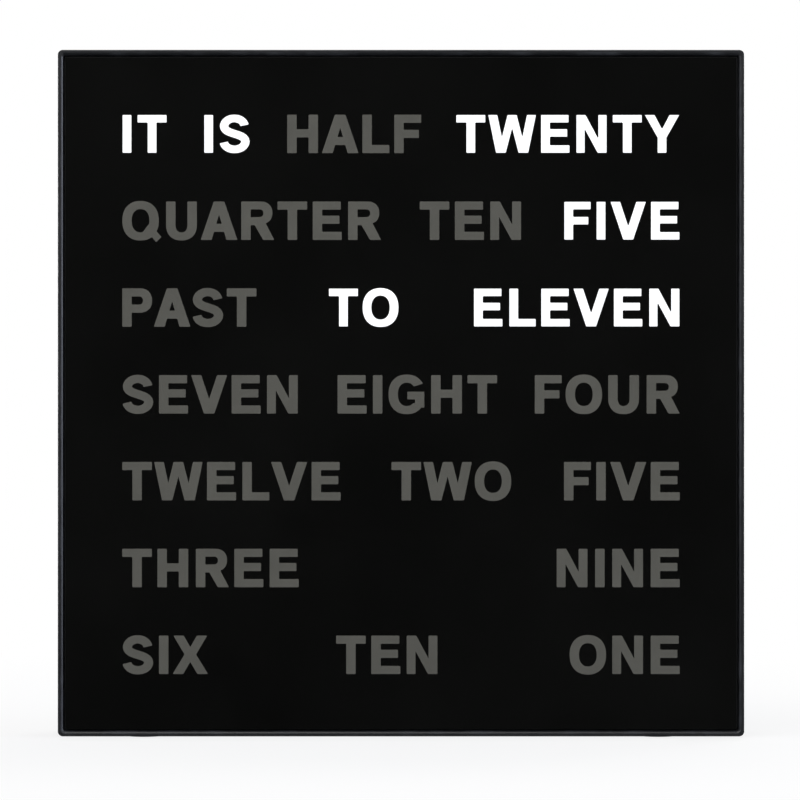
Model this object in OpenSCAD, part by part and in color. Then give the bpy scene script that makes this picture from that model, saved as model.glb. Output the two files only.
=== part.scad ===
// Word clock: a square frame with a glossy dial panel and seven rows of back-lit words.
// X runs to the right seen from the front, the front faces -Y, and Z is up.
// The origin is on the table under the middle of the clock.

/* [Case] */
// Outer width of the case
case_w = 165; // [148:1:240]
// Outer height of the case, without its feet
case_h = 165; // [148:1:240]
// Outer depth of the case, from the rim to the back
case_d = 30; // [29:0.5:45]
// Thickness of the case walls, which is also the width of the rim
case_wall = 1.4; // [1:0.1:2]
// Radius of the outer corners
corner_r = 1.2; // [0.5:0.1:3]
// Width of the ledge that the panel is taped to
ledge_w = 7; // [6.5:0.1:8]
// Thickness of the ledge
ledge_t = 1.6; // [1:0.1:2.5]

/* [Dial] */
// How far the panel lies behind the rim
panel_sink = 0.2; // [0.1:0.1:1]
// Thickness of the dial panel
panel_t = 2; // [1.5:0.1:3]
// Gap round the dial panel
panel_gap = 0.3; // [0.1:0.1:0.5]
// Thickness of the panel's adhesive tape
tape_t = 0.2; // [0.1:0.05:0.4]
// Thickness of the printed mask film
film_t = 0.2; // [0.1:0.05:0.3]
// Thickness of the milky diffuser sheet
diffuser_t = 1; // [0.6:0.1:1.5]
// Gap round the sheets and the baffle inside the ledge
stack_gap = 0.3; // [0.1:0.1:0.5]
// Distance of the words from the sides of the case
text_side = 15.5; // [13:0.1:20]
// Distance of the words from the top and bottom of the case
text_rise = 15.27; // [13:0.01:20]
// Width of a row of words, counted in capital heights
row_caps = 14.5; // [14:0.1:18]

/* [Light] */
// Depth of the light baffle
baffle_d = 10; // [6:0.5:10]
// Margin of a light cell at the sides of its word
cell_side = 1.2; // [0.5:0.1:2]
// Margin of a light cell above and below its word
cell_rise = 2.8; // [1:0.1:4]
// Thickness of the printed boards
board_t = 1.6; // [1:0.1:2]
// Gap round the lamp board
board_gap = 0.5; // [0.3:0.1:1]
// Width of a lamp
led_w = 3.5; // [2:0.1:4]
// Height of a lamp's face
led_h = 2.8; // [2:0.1:4]
// Thickness of a lamp
led_t = 1.6; // [0.8:0.1:2.5]
// Radius of a lamp's luminous face
led_face_r = 1.1; // [0.6:0.1:1.3]
// Depth of a lamp's luminous face
led_face_d = 0.3; // [0.1:0.1:0.5]

/* [Screws] */
// Radius of the bosses for the case screws
boss_r = 3.4; // [3:0.1:3.5]
// Radius of the case screws' shafts
case_screw_r = 1.45; // [1.2:0.05:1.6]
// Length of the case screws' shafts
case_screw_l = 9; // [6:0.5:12]
// Radius of the case screws' heads
case_head_r = 2.7; // [2.2:0.1:2.8]
// Height of the case screws' heads
case_head_h = 1.4; // [1:0.1:1.6]
// Radius of the posts that carry the lamp board
post_r = 2.6; // [2.2:0.1:3]
// Distance of the board posts from the middle of each side
post_offset = 50; // [30:1:60]
// Radius of the small screws' shafts
small_screw_r = 1.1; // [0.8:0.05:1.2]
// Length of the small screws' shafts
small_screw_l = 5; // [3:0.5:6]
// Radius of the small screws' heads
small_head_r = 2.1; // [1.7:0.1:2.3]
// Height of the small screws' heads
small_head_h = 1.3; // [0.8:0.1:1.5]
// Width of the arms of the screwdriver recess
recess_w = 0.6; // [0.4:0.1:0.8]
// Depth of the screwdriver recess
recess_d = 0.7; // [0.3:0.1:0.8]
// Clearance between a screw and the hole that it cuts its thread in
thread_gap = 0.05; // [0.02:0.01:0.1]
// Clearance round a screw where it only passes through
pass_gap = 0.25; // [0.15:0.05:0.4]

/* [Back cover] */
// Thickness of the back cover
cover_t = 2; // [1.6:0.1:3]
// Thickness of the cover's inner lip
lip_t = 1.2; // [0.8:0.1:2]
// Depth of the cover's inner lip
lip_d = 3; // [1:0.5:5]
// Gap between the lip and the case walls
lip_gap = 0.2; // [0.1:0.05:0.3]
// Wall of the pockets moulded into the cover
pocket_wall = 1.4; // [1:0.1:1.6]
// Thickness of the pads under the case screws
pad_t = 1.5; // [1:0.1:2.5]
// Width of a vent slot
vent_w = 2; // [1:0.1:3]
// Height of a vent slot
vent_h = 8; // [4:0.5:9]
// Distance from one vent slot to the next
vent_pitch = 6; // [4:0.5:8]
// Number of vent slots in the upper row
upper_vents = 12; // [4:2:14]
// Number of vent slots in each lower group
lower_vents = 5; // [2:1:6]
// Distance of the vent rows from the top and bottom edges
vent_edge = 17; // [15:0.5:20]
// Distance of the lower vent groups from the middle
vent_side = 49; // [46:1:54]

/* [Wall hanging] */
// Distance between the two keyholes
keyhole_pitch = 90; // [80:1:110]
// Distance of the keyholes' round ends from the top of the case
keyhole_drop = 39; // [36:1:44]
// Radius of a keyhole's round end
keyhole_r = 4.2; // [3:0.1:5]
// Half the width of a keyhole's slot
keyhole_slot_r = 2.1; // [1.5:0.1:2.2]
// Length of a keyhole's slot above the round end
keyhole_rise = 8; // [5:0.5:10]
// Room for the wall screw's head behind the cover
keyhole_d = 4; // [3:0.5:5]

/* [Leg] */
// Height of the leg's hinge above the bottom of the case
hinge_h = 98; // [90:1:104]
// Width of the leg at its hinge
leg_w = 34; // [30:1:38]
// Width of the leg at its foot
leg_foot_w = 26; // [20:1:28]
// Thickness of the leg
leg_t = 3.2; // [2.5:0.1:3.6]
// Height of the leg's foot above the bottom of the case while folded
leg_lift = 4.5; // [3.5:0.5:8]
// Length of the leg's rubber foot
leg_pad_l = 3; // [2:0.5:5]
// Thickness of the tongue that holds the rubber foot
leg_tongue_t = 1.2; // [0.8:0.1:1.6]
// Radius of the leg's hinge barrel
barrel_r = 2.2; // [2:0.1:2.4]
// Radius of the hinge pin
pin_r = 1; // [0.8:0.05:1.2]
// Clearance of the hinge pin in the leg
pin_gap = 0.05; // [0.02:0.01:0.1]
// Width of the blocks that hold the hinge pin
hinge_block_w = 4.5; // [3:0.5:6]
// Gap round the folded leg
leg_gap = 0.5; // [0.3:0.1:0.8]
// How far the folded leg lies below the back
leg_sink = 0.2; // [0.1:0.1:0.5]
// Height of the heel that stops the open leg
heel_h = 2.7; // [2.5:0.1:2.8]
// Thickness of the heel
heel_t = 2.4; // [2:0.1:2.6]
// Radius of the finger hollows beside the leg
finger_r = 8; // [6:0.5:9]
// Depth of the finger hollows
finger_d = 3; // [2:0.1:3.5]
// Height of the finger hollows above the leg's foot
finger_h = 18; // [14:1:40]

/* [Keys] */
// Distance of the keys from the middle of the case
key_x = 50; // [48:1:52]
// Height of the middle key above the bottom of the case
key_h = 70; // [66:1:74]
// Distance from one key to the next
key_pitch = 14; // [12:0.5:15]
// Radius of a key
key_r = 3.4; // [2.5:0.1:3.8]
// Gap round a key in the cover
key_gap = 0.3; // [0.2:0.05:0.5]
// Width of the flange that keeps a key in
key_flange = 1.1; // [0.8:0.1:1.4]
// Thickness of that flange
key_flange_t = 1.2; // [0.8:0.1:1.6]
// Gap between the flange and the cover
key_seat = 0.2; // [0.1:0.05:0.3]
// Radius of the stub under a key
key_stub_r = 1.3; // [1:0.1:1.5]
// Length of the stub under a key
key_stub_l = 0.6; // [0.4:0.1:1.2]
// Depth of the dish round the keys
key_dish_d = 1; // [0.6:0.1:1.2]
// Margin of the dish round the keys
key_dish_side = 3.2; // [2.5:0.1:3.4]
// How far the keys, the door and the screws lie below the back
flush_sink = 0.1; // [0.05:0.05:0.3]
// Width of a switch housing
switch_w = 6; // [5.5:0.1:8]
// Height of a switch housing on its board
switch_t = 3.5; // [3:0.1:4]
// Radius of a switch stem
stem_r = 1.6; // [1.3:0.1:1.8]
// Gap round a switch stem
stem_gap = 0.15; // [0.1:0.05:0.3]
// How far a switch stem stands out of its housing
stem_out = 1.5; // [1:0.1:2]
// How deep a switch stem reaches into its housing
stem_in = 1.2; // [0.8:0.1:1.5]
// How far a key travels
key_travel = 0.6; // [0.3:0.1:0.8]

/* [Control board] */
// Width of the control board
control_w = 36; // [34:1:38]
// Height of the control board
control_h = 72; // [70:1:76]
// Height of the board's middle above the bottom of the case
control_z = 60; // [58:1:62]
// Distance of the board's screws from its edges
control_edge = 4; // [3.6:0.1:4.5]
// Radius of the cover's standoffs for the board
standoff_r = 2.4; // [2:0.1:2.6]
// Height of the power inlet above the bottom of the case
jack_h = 36; // [34:1:40]
// Width of the power inlet's body
jack_w = 9.4; // [9:0.1:11]
// Radius of the inlet's collar
jack_r = 4.2; // [4:0.1:4.5]
// Gap round the collar in the cover
jack_gap = 0.2; // [0.1:0.05:0.5]
// Radius of the inlet's hole
jack_hole_r = 2.85; // [2.5:0.05:3.2]
// Thickness of the inlet's base
jack_base = 0.8; // [0.5:0.1:1.5]
// Radius of the inlet's centre pin
jack_pin_r = 1; // [0.6:0.05:1.25]
// How far the inlet's collar lies below the back
jack_sink = 0.6; // [0.3:0.1:1.5]
// Radius of the smoothing capacitor
cap_r = 3.1; // [2.5:0.1:3.5]
// Height of the smoothing capacitor
cap_l = 5.6; // [4:0.1:6.5]
// Distance of the capacitor from the keys' centre line
cap_x = 10.5; // [10:0.1:11]
// Width of the plug-in link between the boards
header_w = 5; // [4:0.1:6]
// Height of that link
header_h = 20; // [12:0.5:26]
// Thickness of the pin strip of the link
header_base_t = 1.5; // [1:0.1:2]
// Distance of the link from the keys' centre line
header_x = 11.5; // [11:0.1:12]
// Length of a driver chip
chip_l = 10; // [6:0.5:12]
// Width of a driver chip
chip_w = 7.5; // [4:0.5:9]
// Thickness of a driver chip
chip_t = 2; // [1:0.1:2.5]
// Height of the driver chips above the bottom of the case
chip_h = 122; // [110:1:130]
// Distance from one driver chip to the next
chip_pitch = 30; // [26:1:34]

/* [Backup cell] */
// Distance of the cell from the middle of the case
cell_x = 50; // [49:1:52]
// Height of the cell above the bottom of the case
cell_h = 66; // [60:1:80]
// Radius of the cell
cell_r = 10; // [8:0.1:10]
// Thickness of the cell
cell_t = 3.2; // [2:0.1:3.2]
// Gap round the cell
cell_gap = 0.6; // [0.4:0.1:1]
// Thickness of the spring contacts
contact_t = 0.6; // [0.3:0.1:0.8]
// Radius of the contact under the cell
contact_r = 6; // [4:0.5:7]
// Width of the contact beside the cell
contact_w = 6; // [4:0.5:8]
// Width of the battery door
door_w = 36; // [35:1:38]
// Height of the battery door
door_h = 25; // [24.5:0.5:28]
// Thickness of the battery door
door_t = 1.5; // [1:0.1:2]
// Radius of the battery door's corners
door_corner_r = 2; // [1:0.1:4]
// Gap round the battery door
door_gap = 0.2; // [0.1:0.05:0.4]
// Distance from the cell to the screw end of the door
door_reach = 21; // [20.5:0.5:22]
// Distance from the door's screw to that end
door_screw_edge = 4.4; // [4:0.1:4.6]
// Width of a door tab
tab_w = 5; // [3:0.5:6]
// Length of a door tab
tab_l = 1.8; // [1:0.1:2]
// Thickness of a door tab
tab_t = 0.8; // [0.5:0.1:0.8]
// Distance of the door tabs from the door's middle line
tab_z = 7; // [5:0.5:8]

/* [Feet] */
// Radius of a rubber foot
foot_r = 4; // [3:0.1:5]
// How far a foot stands out under the case
foot_out = 0.3; // [0.2:0.1:1]
// Depth of a foot's seat in the case wall
foot_seat = 0.5; // [0.2:0.1:0.6]
// Distance of the feet from the middle of the case, sideways
foot_x = 62; // [50:1:66]
// Distance of the feet from the middle of the case, front to back
foot_y = 8; // [5:0.5:9]

/* [Colours] */
// Colour of the case and the back cover
case_colour = "#1b1c1f"; // ["#1b1c1f", "#2b2b2b", "#f2f2f2"]
// Colour of the dial panel
panel_colour = "#0b0b0c"; // ["#0b0b0c", "#2b2b2b", "#7a1f1f"]

/* [Hidden] */

// The words on the dial, row by row from the top
ROWS = [["IT", "IS", "HALF", "TWENTY"], ["QUARTER", "TEN", "FIVE"], ["PAST", "TO", "ELEVEN"],
    ["SEVEN", "EIGHT", "FOUR"], ["TWELVE", "TWO", "FIVE"], ["THREE", "NINE"],
    ["SIX", "TEN", "ONE"]];

round_fn = 64;
small_fn = 32;
past = 1; // how far a cut runs past the face that it opens

// Depths, front to back
front_y = -case_d / 2;
back_y = case_d / 2;
panel_y = front_y + panel_sink;
tape_y = panel_y + panel_t;
ledge_y = tape_y + tape_t;
diffuser_y = tape_y + film_t;
baffle_y = diffuser_y + diffuser_t;
board_y = baffle_y + baffle_d;
board_back = board_y + board_t;
cover_y = back_y - cover_t;
boss_end = cover_y - pad_t;
flush_y = back_y - flush_sink;

// Heights and outlines
base_z = foot_out;
mid_z = base_z + case_h / 2;
top_z = base_z + case_h;
inner_w = case_w - 2 * case_wall;
inner_h = case_h - 2 * case_wall;
open_w = inner_w - 2 * ledge_w;
open_h = inner_h - 2 * ledge_w;
inner_r = max(corner_r - case_wall, 0.4);

// Screw places, as [x, z]
boss_merge = 0.6; // how far a boss runs into the case wall
boss_in = case_wall + boss_r - boss_merge;
post_in = case_wall + small_head_r + pass_gap;
pad_r = boss_in - case_wall - lip_gap;
boss_places = [for (sx = [-1, 1], sz = [-1, 1])
    [sx * (case_w / 2 - boss_in), mid_z + sz * (case_h / 2 - boss_in)]];
post_places = [for (s = [-1, 1], t = [-1, 1]) each [
    [s * post_offset, mid_z + t * (case_h / 2 - post_in)],
    [t * (case_w / 2 - post_in), mid_z + s * post_offset]]];

// The leg and its pocket
hinge_z = base_z + hinge_h;
hinge_y = back_y - leg_sink - barrel_r;
leg_y = back_y - leg_sink - leg_t;
leg_tip = base_z + leg_lift;
leg_plate_end = leg_tip + leg_pad_l;
pocket_y = hinge_y - barrel_r - leg_gap;
pocket_top = hinge_z + norm([heel_t / 2, heel_h]) + leg_gap;
pocket_bottom = leg_tip - leg_gap;
finger_z = leg_tip + finger_h;

// The keys, the control board and the power inlet
dish_y = back_y - key_dish_d;
flange_back = cover_y - key_seat;
flange_front = flange_back - key_flange_t;
stem_top = flange_front - key_stub_l;
switch_top = stem_top - stem_out;
control_back = switch_top - switch_t;
control_y = control_back - board_t;
control_mid = base_z + control_z;
key_places = [for (i = [1, 0, -1]) base_z + key_h + i * key_pitch];
jack_z = base_z + jack_h;
jack_end = back_y - jack_sink;
control_screw_places = [for (sx = [-1, 1], sz = [-1, 1])
    [key_x + sx * (control_w / 2 - control_edge), control_mid + sz * (control_h / 2 - control_edge)]];
header_mid = base_z + key_h;
chip_z = base_z + chip_h;

// The backup cell, its door and its pocket
cell_z = base_z + cell_h;
door_y = flush_y - door_t;
cell_back = door_y - door_gap;
cell_y = cell_back - cell_t;
cell_pocket_y = cell_y - contact_t;
door_right = -cell_x + door_reach;
door_mid = door_right - door_w / 2;
door_screw_x = door_right - door_screw_edge;
door_step = door_y - door_gap;

// The words: a row fills the width between its margins, and the rows fill the height
text_w = case_w - 2 * text_side;
cap_h = text_w / row_caps;
row_pitch = (case_h - 2 * text_rise - cap_h) / (len(ROWS) - 1);

// Light cells: the words' widths come from the letters, as shares of the capital height
function letter_w(c) = cap_h * (
    len(search(c, "I")) > 0 ? 0.44 :
    len(search(c, "TLF")) > 0 ? 0.84 :
    len(search(c, "HANUR")) > 0 ? 1 :
    len(search(c, "QOG")) > 0 ? 1.07 :
    len(search(c, "W")) > 0 ? 1.3 : 0.92);
function letters_w(word, n) = n == 0 ? 0 : letters_w(word, n - 1) + letter_w(word[n - 1]);
function word_w(word) = letters_w(word, len(word));
function row_w(row, n) = n == 0 ? 0 : row_w(row, n - 1) + word_w(row[n - 1]);
function row_gap(row) = (text_w - row_w(row, len(row))) / (len(row) - 1);
function word_x(row, n) = -text_w / 2 + row_w(row, n) + n * row_gap(row);
function row_z(i) = mid_z + ((len(ROWS) - 1) / 2 - i) * row_pitch;

// A rectangle with true round corners, centred
module round_rect(w, h, r) {
    square([w - 2 * r, h], center = true);
    square([w, h - 2 * r], center = true);
    for (sx = [-1, 1], sz = [-1, 1])
        translate([sx * (w / 2 - r), sz * (h / 2 - r)]) circle(r, $fn = small_fn);
}

// Stands a flat outline up, from one depth to another
module upright(y0, y1) {
    translate([0, y1, 0]) rotate([90, 0, 0]) linear_extrude(y1 - y0) children();
}

// An upright plate with round corners
module plate(w, h, y0, y1, r, x = 0, z = mid_z) {
    upright(y0, y1) translate([x, z]) round_rect(w, h, r);
}

// A cylinder that runs front to back
module rod(place, y0, y1, r, fn = round_fn) {
    translate([place[0], y1, place[1]]) rotate([90, 0, 0]) cylinder(h = y1 - y0, r = r, $fn = fn);
}

// A box given by its middle and its depths
module brick(w, h, y0, y1, x, z) {
    translate([x - w / 2, y0, z - h / 2]) cube([w, y1 - y0, h]);
}

// A screw with a cross recess: dir is 1 where the head faces the back, -1 where it faces the front
module screw(place, seat_y, dir, shaft_r, shaft_l, head_r, head_h) {
    translate([place[0], seat_y, place[1]]) rotate([-90 * dir, 0, 0]) difference() {
        union() {
            cylinder(h = head_h, r = head_r, $fn = small_fn);
            translate([0, 0, -shaft_l]) cylinder(h = shaft_l + head_h / 2, r = shaft_r, $fn = small_fn);
        }
        for (turn = [45, 135]) rotate(turn)
            translate([-head_r * 0.62, -recess_w / 2, head_h - recess_d])
                cube([head_r * 1.24, recess_w, recess_d + past]);
    }
}

// The case: four walls with the rim, the ledge, the screw bosses and the board posts
module front_case() color(case_colour) difference() {
    union() {
        difference() {
            plate(case_w, case_h, front_y, cover_y, corner_r);
            plate(inner_w, inner_h, front_y - past, cover_y + past, inner_r);
        }
        difference() {
            brick(inner_w + case_wall, inner_h + case_wall, ledge_y, ledge_y + ledge_t, 0, mid_z);
            brick(open_w, open_h, ledge_y - past, ledge_y + ledge_t + past, 0, mid_z);
        }
        for (p = boss_places) rod(p, ledge_y, boss_end, boss_r);
        for (p = post_places) rod(p, ledge_y, board_y, post_r);
    }
    for (p = boss_places)
        rod(p, boss_end - case_screw_l, boss_end + past, case_screw_r + thread_gap, small_fn);
    for (p = post_places)
        rod(p, board_y - small_screw_l, board_y + past, small_screw_r + thread_gap, small_fn);
    foot_shapes(foot_seat, foot_r + 0.1);
}

// The glossy dial panel
module front_panel() color(panel_colour)
    plate(inner_w - 2 * panel_gap, inner_h - 2 * panel_gap, panel_y, tape_y, inner_r);

// The adhesive ring between the panel and the ledge
module panel_tape() color("#e8e4d8") difference() {
    brick(inner_w - 2 * panel_gap - 1, inner_h - 2 * panel_gap - 1, tape_y, ledge_y, 0, mid_z);
    brick(open_w + 1, open_h + 1, tape_y - past, ledge_y + past, 0, mid_z);
}

// A sheet that fits inside the ledge
module inner_sheet(y0, y1)
    brick(open_w - 2 * stack_gap, open_h - 2 * stack_gap, y0, y1, 0, mid_z);

module mask_film() color("#101012") inner_sheet(tape_y, diffuser_y);

module diffuser_sheet() color("#f4f4f0") inner_sheet(diffuser_y, baffle_y);

// The baffle: one light cell for each word
module light_baffle() color("#e9e9e6") difference() {
    inner_sheet(baffle_y, board_y);
    for (i = [0 : len(ROWS) - 1], n = [0 : len(ROWS[i]) - 1])
        brick(word_w(ROWS[i][n]) + 2 * cell_side, cap_h + 2 * cell_rise, baffle_y - past,
            board_y + past, word_x(ROWS[i], n) + word_w(ROWS[i][n]) / 2, row_z(i));
}

// The lamp board, cut away at the case's corner bosses
module led_board() color("#f0efe9") difference() {
    brick(inner_w - 2 * board_gap, inner_h - 2 * board_gap, board_y, board_back, 0, mid_z);
    for (p = boss_places)
        brick(2 * (boss_r + board_gap), 2 * (boss_r + board_gap), board_y - past,
            board_back + past, p[0], p[1]);
    for (p = post_places) rod(p, board_y - past, board_back + past, small_screw_r + pass_gap, small_fn);
}

// One lamp behind each letter
module leds() color("#fff6d0")
    for (i = [0 : len(ROWS) - 1], n = [0 : len(ROWS[i]) - 1], k = [0 : len(ROWS[i][n]) - 1])
        lamp(word_x(ROWS[i], n) + letters_w(ROWS[i][n], k) + letter_w(ROWS[i][n][k]) / 2, row_z(i));

module lamp(x, z) difference() {
    brick(led_w, led_h, board_y - led_t, board_y, x, z);
    rod([x, z], board_y - led_t - past, board_y - led_t + led_face_d, led_face_r, 24);
}

// Driver chips on the back of the lamp board
module board_chips() color("#26282b")
    for (i = [-1 : 1]) brick(chip_l, chip_w, board_back, board_back + chip_t, i * chip_pitch, chip_z);

module board_screws() color("#b9bcc0")
    for (p = post_places)
        screw(p, board_back, 1, small_screw_r, small_screw_l + board_t - past, small_head_r, small_head_h);

// The link between the two boards
module header_socket() color("#1d1d1f")
    brick(header_w, header_h, board_back, control_y - header_base_t, key_x - header_x, header_mid);

module header_pins() color("#2f2f33")
    brick(header_w, header_h, control_y - header_base_t, control_y, key_x - header_x, header_mid);

// The control board on the cover's standoffs
module control_board() color("#1f5a3a") difference() {
    brick(control_w, control_h, control_y, control_back, key_x, control_mid);
    for (p = control_screw_places)
        rod(p, control_y - past, control_back + past, small_screw_r + pass_gap, small_fn);
}

module control_screws() color("#b9bcc0")
    for (p = control_screw_places)
        screw(p, control_y, -1, small_screw_r, small_screw_l, small_head_r, small_head_h);

// Switch housings, each with a well for its stem
module tact_switches() color("#303236")
    for (z = key_places) difference() {
        brick(switch_w, switch_w, control_back, switch_top, key_x, z);
        rod([key_x, z], switch_top - stem_in - key_travel - stem_gap, switch_top + past, stem_r + stem_gap);
    }

module stem(i) color("#c9b48a") rod([key_x, key_places[i]], switch_top - stem_in, stem_top, stem_r);

module hour_stem() stem(0);

module minute_stem() stem(1);

module light_stem() stem(2);

// A key: its stub rests on a switch stem and its flange keeps it behind the cover
module key(i) color("#3a3c40") {
    rod([key_x, key_places[i]], stem_top, flange_front, key_stub_r);
    rod([key_x, key_places[i]], flange_front, flange_back, key_r + key_flange);
    rod([key_x, key_places[i]], flange_back, flush_y, key_r);
}

module hour_button() key(0);

module minute_button() key(1);

module light_button() key(2);

// The power inlet: a body on the board and a round collar through the cover
module power_jack() color("#151517") difference() {
    union() {
        brick(jack_w, jack_w, control_back, cover_y - key_seat, key_x, jack_z);
        rod([key_x, jack_z], cover_y - key_seat, jack_end, jack_r);
    }
    rod([key_x, jack_z], control_back + jack_base, back_y + past, jack_hole_r);
}

module jack_pin() color("#c8c9cb")
    rod([key_x, jack_z], control_back + jack_base, jack_end - 1, jack_pin_r);

module smoothing_capacitor() color("#2a3550")
    rod([key_x + cap_x, base_z + key_h - key_pitch], control_back, control_back + cap_l, cap_r);

// The leg's outline between two heights, grown sideways by a margin
function leg_half(z) = (leg_foot_w + (leg_w - leg_foot_w) * min((z - leg_tip) / (hinge_z - leg_tip), 1)) / 2;
module leg_outline(margin, z0, z1) {
    levels = z1 > hinge_z ? [z0, hinge_z, z1] : [z0, z1];
    polygon(concat([for (z = levels) [leg_half(z) + margin, z]],
        [for (i = [len(levels) - 1 : -1 : 0]) [-leg_half(levels[i]) - margin, levels[i]]]));
}

// The back cover, with everything that is moulded into it
module rear_cover() color(case_colour) difference() {
    union() {
        plate(case_w, case_h, cover_y, back_y, corner_r);
        cover_lips();
        for (p = boss_places) rod(p, boss_end, cover_y + cover_t / 2, pad_r);
        upright(pocket_y - pocket_wall, cover_y)
            leg_outline(leg_gap + pocket_wall, pocket_bottom - pocket_wall, pocket_top + pocket_wall);
        brick(2 * (leg_foot_w / 2 + finger_r + pocket_wall), 2 * (finger_r + pocket_wall),
            back_y - finger_d - pocket_wall, cover_y, 0, finger_z);
        for (s = [-1, 1])
            brick(hinge_block_w, 4 * barrel_r, pocket_y - pocket_wall, cover_y,
                s * (leg_w / 2 + leg_gap + hinge_block_w / 2), hinge_z);
        brick(door_w + 2 * (pocket_wall + tab_l), door_h + 2 * (door_gap + pocket_wall),
            cell_pocket_y - pocket_wall, cover_y, door_mid, cell_z);
        for (s = [-1, 1])
            brick(2 * (keyhole_r + pocket_wall), 2 * (keyhole_r + pocket_wall) + keyhole_rise,
                cover_y - keyhole_d - pocket_wall, cover_y, s * keyhole_pitch / 2,
                top_z - keyhole_drop + keyhole_rise / 2);
        for (p = control_screw_places) rod(p, control_back, cover_y, standoff_r);
    }
    screw_holes();
    leg_pocket();
    battery_pocket();
    for (s = [-1, 1]) keyhole(s * keyhole_pitch / 2);
    key_holes();
    vents();
}

// Four straight lips that slide inside the case walls, clear of the corner bosses
module cover_lips() {
    lip_side = 2 * (boss_in + boss_r + lip_gap);
    for (s = [-1, 1]) {
        brick(case_w - lip_side, lip_t, cover_y - lip_d, cover_y, 0,
            mid_z + s * (inner_h / 2 - lip_gap - lip_t / 2));
        brick(lip_t, case_h - lip_side, cover_y - lip_d, cover_y,
            s * (inner_w / 2 - lip_gap - lip_t / 2), mid_z);
    }
}

module screw_holes() {
    head_y = flush_y - case_head_h;
    for (p = boss_places) {
        rod(p, boss_end - past, back_y, case_screw_r + pass_gap, small_fn);
        rod(p, head_y, back_y + past, case_head_r + pass_gap);
    }
    for (p = control_screw_places)
        rod(p, control_back - past, control_back + small_screw_l, small_screw_r + thread_gap, small_fn);
    rod([door_screw_x, cell_z], door_step - small_screw_l, door_step + past,
        small_screw_r + thread_gap, small_fn);
}

// The recess that the leg folds into, its hinge bores and its finger hollows
module leg_pocket() {
    upright(pocket_y, back_y + past) leg_outline(leg_gap, pocket_bottom, pocket_top);
    for (s = [-1, 1])
        rod([s * leg_foot_w / 2, finger_z], back_y - finger_d, back_y + past, finger_r);
    translate([-leg_w / 2 - leg_gap - hinge_block_w - past, hinge_y, hinge_z])
        rotate([0, 90, 0])
            cylinder(h = leg_w + 2 * (leg_gap + hinge_block_w + past), r = pin_r, $fn = small_fn);
}

// The round cell pocket, the door's step, its tab slots and the side contact's slot
module battery_pocket() {
    rod([-cell_x, cell_z], cell_pocket_y, back_y + past, cell_r + cell_gap);
    plate(door_w + 2 * door_gap, door_h + 2 * door_gap, door_step, back_y + past, door_corner_r,
        door_mid, cell_z);
    for (s = [-1, 1])
        brick(tab_l + 2 * door_gap, tab_w + 2 * door_gap, door_step, door_y + tab_t + door_gap,
            door_mid - door_w / 2 - tab_l / 2, cell_z + s * tab_z);
    brick(contact_w + door_gap, contact_t, cell_pocket_y, door_step + past, -cell_x,
        cell_z + cell_r + cell_gap);
}

// A keyhole: a round end, a slot above it, and room behind for the screw's head
module keyhole(x) {
    z = top_z - keyhole_drop;
    rod([x, z], cover_y - past, back_y + past, keyhole_r);
    brick(2 * keyhole_slot_r, keyhole_rise, cover_y - past, back_y + past, x, z + keyhole_rise / 2);
    rod([x, z + keyhole_rise], cover_y - past, back_y + past, keyhole_slot_r);
    brick(2 * keyhole_r, 2 * keyhole_r + keyhole_rise, cover_y - keyhole_d, cover_y, x,
        z + keyhole_rise / 2);
}

// The dish round the keys, their holes and the power inlet's hole
module key_holes() {
    dish_w = 2 * (key_r + key_dish_side);
    plate(dish_w, dish_w + 2 * key_pitch, dish_y, back_y + past, dish_w / 2 - 0.01, key_x,
        base_z + key_h);
    for (z = key_places) rod([key_x, z], cover_y - past, back_y + past, key_r + key_gap);
    rod([key_x, jack_z], cover_y - past, back_y + past, jack_r + jack_gap);
}

module vents() {
    for (i = [0 : upper_vents - 1])
        vent((i - (upper_vents - 1) / 2) * vent_pitch, top_z - vent_edge + vent_h / 2);
    for (s = [-1, 1], i = [0 : lower_vents - 1])
        vent(s * vent_side + (i - (lower_vents - 1) / 2) * vent_pitch, base_z + vent_edge - vent_h / 2);
}

module vent(x, z) plate(vent_w, vent_h, cover_y - past, back_y + past, vent_w / 2 - 0.01, x, z);

module case_screws() color("#4a4c50")
    for (p = boss_places)
        screw(p, flush_y - case_head_h, 1, case_screw_r,
            flush_y - case_head_h - boss_end + case_screw_l - past, case_head_r, case_head_h);

// The fold-out leg, with its barrel, its heel and the tongue for the rubber foot
module stand_leg() color("#232427") difference() {
    union() {
        upright(leg_y, leg_y + leg_t) leg_outline(0, leg_plate_end, hinge_z);
        translate([-leg_w / 2, hinge_y, hinge_z]) rotate([0, 90, 0])
            cylinder(h = leg_w, r = barrel_r, $fn = round_fn);
        brick(leg_w * 0.6, heel_h, hinge_y - heel_t / 2, hinge_y + heel_t / 2, 0, hinge_z + heel_h / 2);
        upright(leg_y + (leg_t - leg_tongue_t) / 2, leg_y + (leg_t + leg_tongue_t) / 2)
            leg_outline(-2, leg_tip + leg_pad_l / 3, hinge_z);
    }
    translate([-leg_w / 2 - past, hinge_y, hinge_z]) rotate([0, 90, 0])
        cylinder(h = leg_w + 2 * past, r = pin_r + pin_gap, $fn = small_fn);
}

module leg_pin() color("#c8c9cb")
    translate([-leg_w / 2 - leg_gap - hinge_block_w, hinge_y, hinge_z]) rotate([0, 90, 0])
        cylinder(h = leg_w + 2 * (leg_gap + hinge_block_w), r = pin_r, $fn = small_fn);

module leg_pad() color("#0f0f10") difference() {
    upright(leg_y, leg_y + leg_t) leg_outline(0, leg_tip, leg_plate_end);
    upright(leg_y + (leg_t - leg_tongue_t) / 2, leg_y + (leg_t + leg_tongue_t) / 2)
        leg_outline(-2, leg_tip + leg_pad_l / 3, leg_plate_end + past);
}

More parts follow.
